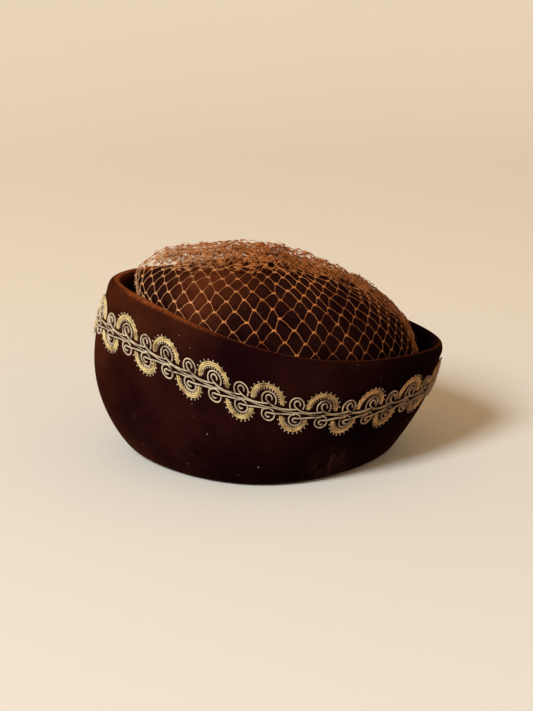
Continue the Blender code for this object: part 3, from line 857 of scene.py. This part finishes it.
# Painted highlight in front, painted shade on top and towards the back
for axis, tint_from, tint_to, most, tint in NET_PAINTED_LIGHT_AND_SHADE:
    share = node("ShaderNodeMapRange", interpolation_type="SMOOTHSTEP", inputs={
        "Value": on_hat.outputs[axis], "From Min": tint_from, "From Max": tint_to, "To Max": most})
    colour = node("ShaderNodeMix", data_type="RGBA", inputs={
        "Factor": share.outputs[0], "A": colour.outputs["Result"], "B": (*tint, 1)})
join(colour.outputs["Result"], "Base Color")
bump = node("ShaderNodeBump", inputs={
    "Strength": 0.6, "Distance": 0.0001, "Height": fibre.outputs["Fac"]})
join(bump.outputs["Normal"], "Normal")
shader.inputs["Roughness"].default_value = 0.55
shader.inputs["Specular IOR Level"].default_value = 0.12
shader.inputs["Sheen Weight"].default_value = 0.10
shader.inputs["Sheen Roughness"].default_value = 0.4
shader.inputs["Sheen Tint"].default_value = (*NET_SHEEN, 1)
net.data.materials.append(thread)
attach(net, "root")
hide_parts("veil")


# The gathers: folds of the same net drawn together along the top and stitched through. They are two
# short, crowded layers under the first, fuller towards the high front.
# Where they start, how much fuller in front, how far knots stray, how loosely they stand off, and
# each layer's crowding and lift
FOLDS_FROM, FOLDS_FRONT, FOLDS_STRAY, FOLDS_LOOSE = 1.45, 0.48, 0.30, 2.2
FOLDS = ((0.20, -0.0008), (0.26, -0.0045))

gathers = [
    lay_net(rng, from_p=FOLDS_FROM, crowd=crowd, spread=FOLDS_FRONT,
            untidy=lambda p: FOLDS_STRAY + 0 * p, loose=lambda p: FOLDS_LOOSE + 0 * p, lift=lift)
    for crowd, lift in FOLDS]
piece = tubes("veil_gathers", [(*laid, radius, 4) for _, laid in gathers])
piece.data.materials.append(thread)
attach(piece, "root")
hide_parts("veil")


# The knots: each is a short thick twist tied across the net where its threads meet, in every layer,
# with two cut fibres that stand up from it.
NET_KNOT = 0.00140
NET_KNOT_HALF = 0.0017
# Length of a fibre, and its thickness from root to tip
KNOT_FIBRE, KNOT_FIBRE_TAPER = 0.0017, (0.00022, 0.00016, 0.00006)
# A slanting way that gives each fibre's round section its first side
FIBRE_SIDE = np.array([0.3, 0.5, 0.81])

span = np.linspace(-1, 1, 5)
every_knot = zip(knots, *[tied for tied, _ in gathers])
middle, out = off_veil(*[np.concatenate(some) + 0 * span for some in every_knot])
side_way = unit(np.cross(np.array([0, 0, 1.0]), out[:, :1]))
twist = middle + NET_KNOT_HALF * span[:, None] * side_way
parts = [(twist, out, NET_KNOT / 2 * np.sqrt(1 - 0.85 * span ** 2), 5)]
for _ in range(2):
    lean = unit(out[:, 0] + rng.normal(0, 0.9, out[:, 0].shape))
    reach = KNOT_FIBRE * rng.uniform(0.5, 1.2, len(lean))[:, None]
    grow = np.linspace(0, 1, 3)[:, None] * (lean * reach)[:, None]
    square = np.cross(lean, FIBRE_SIDE)[:, None] + 0 * grow
    parts.append((middle[:, 2:3] + grow, square, np.array(KNOT_FIBRE_TAPER), 3))
piece = tubes("veil_knots", parts)
piece.data.materials.append(thread)
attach(piece, "root")
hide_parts("veil")


# The bunched ends: uneven strands of the net side by side down the low back of the crown, which part
# and fan out where they reach the gathers on top, and the cut fibres that stand out of them.
# Number of strands, how far up the crown they run, their angle, spread and drift round it
BUNCH_STRANDS = 15
BUNCH_FROM, BUNCH_TO = 0.88, 1.62
BUNCH_ANGLE, BUNCH_DRIFT = -0.17, 0.05
BUNCH_SPREAD, BUNCH_FAN, BUNCH_FANS_FROM = 0.030, 0.22, 1.12
STRAND, STRAND_TWIST = 0.00030, 0.00010
LOOSE_FIBRE, LOOSE_FIBRE_TAPER = 0.0030, (0.00014, 0.00012, 0.00009, 0.00004)
LOOSE_FIBRES_A_STRAND, LOOSE_FIBRE_DROOP = 14, 0.0010

climb = np.linspace(BUNCH_FROM, BUNCH_TO, 70)[None]
lie = np.linspace(-1, 1, BUNCH_STRANDS)[:, None]
wander = sum(np.sin(f * climb * 13 + rng.uniform(0, 6.3, (BUNCH_STRANDS, 1))) / f for f in (1, 2, 3, 5))
fan = BUNCH_SPREAD + BUNCH_FAN * np.clip(climb - BUNCH_FANS_FROM, 0, 1) ** 1.3
strand_theta = BUNCH_ANGLE + fan * (lie + 0.35 * wander) + BUNCH_DRIFT * (climb - 1.2)
strand_w = climb + 0 * strand_theta
strand_out = outward(crown_face, strand_theta, strand_w)
more = 0.0004 + 0.0010 * (1 - lie ** 2) + 0.0008 * wander
strands = veil_face(strand_theta, strand_w) + more[..., None] * strand_out
fibre_count = BUNCH_STRANDS * LOOSE_FIBRES_A_STRAND
cut = rng.integers(0, climb.size, fibre_count)
strand = rng.integers(0, BUNCH_STRANDS, fibre_count)
start = strands[strand, cut]
lean = unit(strand_out[strand, cut] * 0.6 + rng.normal(0, 0.6, start.shape))
reach = LOOSE_FIBRE * rng.uniform(0.4, 1.0, len(start))[:, None]
fibres = start[:, None] + np.linspace(0, 1, 4)[:, None] * (lean * reach)[:, None]
fibres = fibres - np.linspace(0, 1, 4)[:, None] ** 2 * np.array([0, 0, LOOSE_FIBRE_DROOP])
square = np.cross(lean, FIBRE_SIDE)[:, None] + 0 * fibres
piece = tubes("veil_gather", [
    (strands, strand_out, STRAND + STRAND_TWIST * np.sin(climb[0] * 70), 6),
    (fibres, square, np.array(LOOSE_FIBRE_TAPER), 3)])
piece.data.materials.append(thread)
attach(piece, "root")
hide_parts("veil")


# The set: warm beige paper, flat under the hat and curving up far out all round it, a broad soft
# light high at the front left, a warm glow from the room and the camera at the photograph's angle.
FLOOR_COLOUR = (0.785, 0.755, 0.68)
WALL_COLOUR = (0.82, 0.77, 0.655)
FLAT_REACH = 1.1
CURVE_RADIUS = 1.3
CAMERA_ELEVATION = np.radians(17.17)
CAMERA_DISTANCE = 1.5
CAMERA_TARGET = Vector((-0.0002, 0, 0.0709))
CAMERA_LENS = 102.6
KEY_PLACE = (-2.3, -2.85, 3.0)
KEY_SIZE = 1.6
KEY_WATTS = 216
KEY_COLOUR = (0.91, 0.97, 1.02)
ROOM_COLOUR = (1.0, 0.61, 0.30)
ROOM_STRENGTH = 0.45
PAPER_COLUMNS = 96


def paper_bowl(theta, walk):
    """Surface of revolution: a flat disc and then a quarter round, by the way walked from the middle"""
    turn = np.clip((walk - FLAT_REACH) / CURVE_RADIUS, 0, np.pi / 2)
    reach = np.minimum(walk, FLAT_REACH) + CURVE_RADIUS * np.sin(turn)
    return np.stack([reach * np.cos(theta), reach * np.sin(theta), CURVE_RADIUS * (1 - np.cos(turn))], -1)


walk = np.concatenate([
    np.linspace(0.1, FLAT_REACH, 8)[:-1], FLAT_REACH + np.linspace(0, CURVE_RADIUS * np.pi / 2, 24)])
theta, walk = np.meshgrid(np.linspace(0, 2 * np.pi, PAPER_COLUMNS, endpoint=False), walk)
corners = np.concatenate([paper_bowl(theta, walk).reshape(-1, 3), np.zeros((1, 3))])
faces = grid_faces(*theta.shape, wrap_columns=True).tolist()
faces += cap_fan(0, PAPER_COLUMNS, len(corners) - 1, True).tolist()
backdrop = new_piece("backdrop", corners, [face[::-1] for face in faces])
paper, shader, node, join = new_finish("paper")
place = node("ShaderNodeTexCoord")
depth = node("ShaderNodeSeparateXYZ", inputs={0: place.outputs["Object"]})
far = node("ShaderNodeMapRange", interpolation_type="SMOOTHSTEP", inputs={
    "Value": depth.outputs["Y"], "From Min": 0.12, "From Max": 0.45})
tone = node("ShaderNodeMix", data_type="RGBA", inputs={
    "Factor": far.outputs[0], "A": (*FLOOR_COLOUR, 1), "B": (*WALL_COLOUR, 1)})
join(tone.outputs["Result"], "Base Color")
shader.inputs["Roughness"].default_value = 0.95
shader.inputs["Specular IOR Level"].default_value = 0.1
backdrop.data.materials.append(paper)


def soft_light(name, place, target, size, power, colour):
    """An area light at a place, turned to face the target"""
    lamp = bpy.data.lights.new(name, "AREA")
    lamp.shape = "DISK"
    lamp.size = size
    lamp.energy = power
    lamp.color = colour
    light = bpy.data.objects.new(name, lamp)
    light.location = place
    light.rotation_euler = (Vector(target) - Vector(place)).to_track_quat("-Z", "Y").to_euler()
    bpy.context.scene.collection.objects.link(light)


soft_light("key", KEY_PLACE, (0, 0, 0.07), KEY_SIZE, KEY_WATTS, KEY_COLOUR)

world = bpy.data.worlds.new("room")
world.use_nodes = True
world.node_tree.nodes["Background"].inputs["Color"].default_value = (*ROOM_COLOUR, 1)
world.node_tree.nodes["Background"].inputs["Strength"].default_value = ROOM_STRENGTH
bpy.context.scene.world = world
bpy.context.scene.view_settings.view_transform = "Standard"

lens = bpy.data.cameras.new("camera")
lens.sensor_fit = "VERTICAL"
lens.sensor_height = 36
lens.sensor_width = 36
lens.lens = CAMERA_LENS
camera = bpy.data.objects.new("camera", lens)
back = Vector((0, -np.cos(CAMERA_ELEVATION), np.sin(CAMERA_ELEVATION)))
camera.location = CAMERA_TARGET + CAMERA_DISTANCE * back
camera.rotation_euler = (-back).to_track_quat("-Z", "Y").to_euler()
bpy.context.scene.collection.objects.link(camera)
bpy.context.scene.camera = camera
